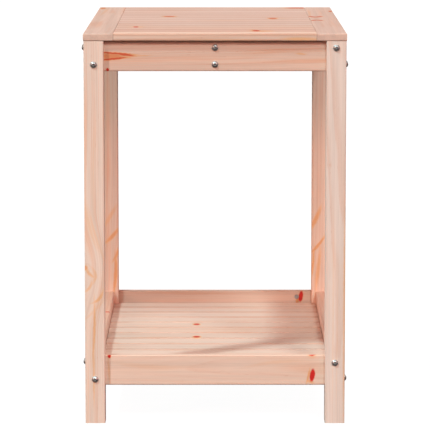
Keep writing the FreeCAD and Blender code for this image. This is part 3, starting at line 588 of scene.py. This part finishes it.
def wood_material(node, groups, rng):
    """Planed softwood for one board, with its own pith, rings, warmth and marks."""
    mark_tree, wood_tree = groups
    material = bpy.data.materials.new("wood_" + node)
    material.use_nodes = True
    graph = Graph(material.node_tree)
    shader = material.node_tree.nodes["Principled BSDF"]
    low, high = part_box(node)
    axes = board_axes(node)
    place = graph.add("ShaderNodeTexCoord").outputs["Object"]

    wobble = graph.noise(graph.scaled(place, WOBBLE_SCALE), detail=1.0, colour=True)
    wobble = graph.scaled(graph.vector("SUBTRACT", wobble, (NOISE_MIDDLE,) * 3), WOBBLE)
    wobbled = graph.vector("ADD", place, wobble)
    state = ((0.0, 0.0, 0.0), 0.0, 0.0)
    for mark in MARKS.get(node, ()):
        state = add_mark(graph, mark_tree, wobbled, state, axes[2], mark)
    shift, core, halo = state

    centre = tuple((low + high) / 2)
    # Painted shade along the long edges, with its strength set board by board.
    edge = board_edge_shade(graph, graph.vector("SUBTRACT", place, centre), (high - low) / 2, axes)
    edge = graph.math("MULTIPLY", edge, by_prefix(EDGE_SHADES, node, USUAL_EDGE_SHADE))
    own = graph.vector("SUBTRACT", graph.vector("ADD", place, shift), centre)
    parts = graph.split(own)
    own = graph.join(*(parts[axis] for axis in axes))
    normal = graph.add("ShaderNodeNewGeometry").outputs["Normal"]
    end = graph.math("ABSOLUTE", graph.vector("DOT_PRODUCT", normal, tuple(unit(axes[2]))))
    angle = rng.uniform(0.0, 2.0 * math.pi)
    away = rng.uniform(*PITH_DISTANCE)
    tone_factor = 1.0 + by_prefix(SPREADS, node, USUAL_SPREAD) * rng.uniform(-1.0, 1.0)
    taper = rng.choice((-1, 1)) * rng.uniform(*TAPER)
    values = {
        "Place": own,
        "Pith": (away * math.cos(angle), away * math.sin(angle), taper),
        "Ring": rng.uniform(*RING_WIDTH),
        "Seed": rng.uniform(*SEEDS),
        "Warmth": rng.uniform(*WARMTH_SPREAD) + by_prefix(WARMTHS, node, USUAL_WARMTH),
        "Streaks": rng.uniform(*BAND_SPREAD) * by_prefix(BANDS, node, USUAL_BANDS),
        # For some boards the tone carries painted light and shade as well as the wood's own tone.
        "Tone": tuple(tone_factor * Vector(by_prefix(TONES_AND_PAINTED_LIGHT, node, USUAL_TONE))),
        "Core": core,
        "Halo": halo,
        "Edge": edge,
        "End": graph.ramp(end, *END_FACE),
    }
    wood = graph.add("ShaderNodeGroup", {"node_tree": wood_tree}, values)
    bump = graph.add("ShaderNodeBump", (), {"Strength": WOOD_BUMP_STRENGTH, "Distance": WOOD_BUMP})
    graph.put(bump.inputs["Height"], wood.outputs["Height"])
    graph.put(shader.inputs["Base Color"], wood.outputs["Color"])
    graph.put(shader.inputs["Roughness"], wood.outputs["Roughness"])
    graph.put(shader.inputs["Normal"], bump.outputs["Normal"])
    return material


def zinc_material():
    """Zinc-plated steel: grey, softly mottled, with fine scratches."""
    material = bpy.data.materials.new("zinc_plated_steel")
    material.use_nodes = True
    graph = Graph(material.node_tree)
    shader = material.node_tree.nodes["Principled BSDF"]
    place = graph.add("ShaderNodeTexCoord").outputs["Object"]
    cloud = graph.noise(graph.scaled(place, ZINC_CLOUD_SCALE), detail=3.0, roughness=0.6)
    scratch = graph.noise(graph.vector("MULTIPLY", place, ZINC_SCRATCH_SCALE), roughness=0.6)
    colour = graph.mix(graph.ramp(cloud, *ZINC_CLOUD_RANGE), ZINC_DARK, ZINC_LIGHT)
    relief = {"Strength": ZINC_BUMP_STRENGTH, "Distance": ZINC_BUMP, "Height": scratch}
    bump = graph.add("ShaderNodeBump", (), relief)
    graph.put(shader.inputs["Base Color"], colour)
    graph.put(shader.inputs["Roughness"], graph.ramp(scratch, *ZINC_ROUGHNESS))
    graph.put(shader.inputs["Metallic"], ZINC_METALLIC)
    graph.put(shader.inputs["Normal"], bump.outputs["Normal"])
    return material


def dress_nodes():
    """Gives every board its own wood and every fastener the zinc."""
    rng = random.Random(WOOD_CHOICE)
    groups = (mark_group(), softwood_group())
    zinc = zinc_material()
    for name in sorted(NODES):
        material = zinc if name.endswith(FASTENER_WORDS) else wood_material(name, groups, rng)
        for slot in NODES[name].material_slots:
            slot.link = "OBJECT"
            slot.material = material


def add_floor():
    """A wide floor, near white by its own glow. It lights nothing else and shows only a trace of shadow."""
    half = FLOOR_SIZE / 2
    corners = [(-half, -half), (half, -half), (half, half), (-half, half)]
    mesh = bpy.data.meshes.new("studio_floor")
    mesh.from_pydata([(x, y, -FLOOR_GAP) for x, y in corners], [], [(0, 1, 2, 3)])
    floor = bpy.data.objects.new("studio_floor", mesh)
    bpy.context.scene.collection.objects.link(floor)
    material = bpy.data.materials.new("studio_floor")
    material.use_nodes = True
    graph = Graph(material.node_tree)
    shader = material.node_tree.nodes["Principled BSDF"]
    place = graph.add("ShaderNodeTexCoord").outputs["Object"]
    cloud = graph.noise(graph.scaled(place, FLOOR_MOTTLE_SCALE))
    grey = graph.ramp(cloud, *FLOOR_MOTTLE_RANGE, FLOOR_GREY - FLOOR_MOTTLE, FLOOR_GREY + FLOOR_MOTTLE)
    graph.put(shader.inputs["Base Color"], graph.join(grey, grey, grey))
    graph.put(shader.inputs["Roughness"], FLOOR_ROUGHNESS)
    graph.put(shader.inputs["Specular IOR Level"], 0.0)
    graph.put(shader.inputs["Emission Color"], (*PLAIN_WHITE, 1.0))
    graph.put(shader.inputs["Emission Strength"], FLOOR_GLOW)
    mesh.materials.append(material)
    floor.visible_diffuse = False
    floor.visible_glossy = False


def add_sun(name, around, above, spread, strength):
    """A soft distant light from the given direction, with the given red, green and blue strength."""
    data = bpy.data.lights.new(name, "SUN")
    data.energy = max(strength)
    data.color = [each / max(strength) for each in strength]
    data.angle = math.radians(spread)
    light = bpy.data.objects.new(name, data)
    bpy.context.scene.collection.objects.link(light)
    a, e = math.radians(around), math.radians(above)
    toward = Vector((math.sin(a) * math.cos(e), -math.cos(a) * math.cos(e), math.sin(e)))
    light.rotation_mode = "QUATERNION"
    light.rotation_quaternion = toward.to_track_quat("Z", "Y")


def add_world():
    """Warm soft light from above and next to none from below; the background itself is plain white."""
    world = bpy.data.worlds.new("studio_world")
    bpy.context.scene.world = world
    world.use_nodes = True
    graph = Graph(world.node_tree)
    world.node_tree.nodes.clear()
    direction = graph.add("ShaderNodeTexCoord").outputs["Generated"]
    height = graph.ramp(graph.split(direction)["Z"], -HORIZON_BLEND, HORIZON_BLEND)
    light = graph.mix(height, GROUND_LIGHT, SKY_LIGHT)
    seen = graph.add("ShaderNodeLightPath").outputs["Is Camera Ray"]
    colour = graph.mix(seen, light, PLAIN_WHITE)
    background = graph.add("ShaderNodeBackground", (), {"Color": colour})
    output = graph.add("ShaderNodeOutputWorld")
    graph.put(output.inputs["Surface"], background.outputs[0])


def add_camera():
    data = bpy.data.cameras.new("camera")
    data.lens = CAMERA_LENS
    data.sensor_width = SENSOR_WIDTH
    data.clip_end = CAMERA_FAR
    camera = bpy.data.objects.new("camera", data)
    camera.location = CAMERA_PLACE
    camera.rotation_euler = (math.radians(90.0 - CAMERA_DIP), 0.0, 0.0)
    bpy.context.scene.collection.objects.link(camera)
    bpy.context.scene.camera = camera


dress_nodes()
add_floor()
add_world()
for light in LIGHTS:
    add_sun(*light)
add_camera()
bpy.context.scene.view_settings.view_transform = "Standard"
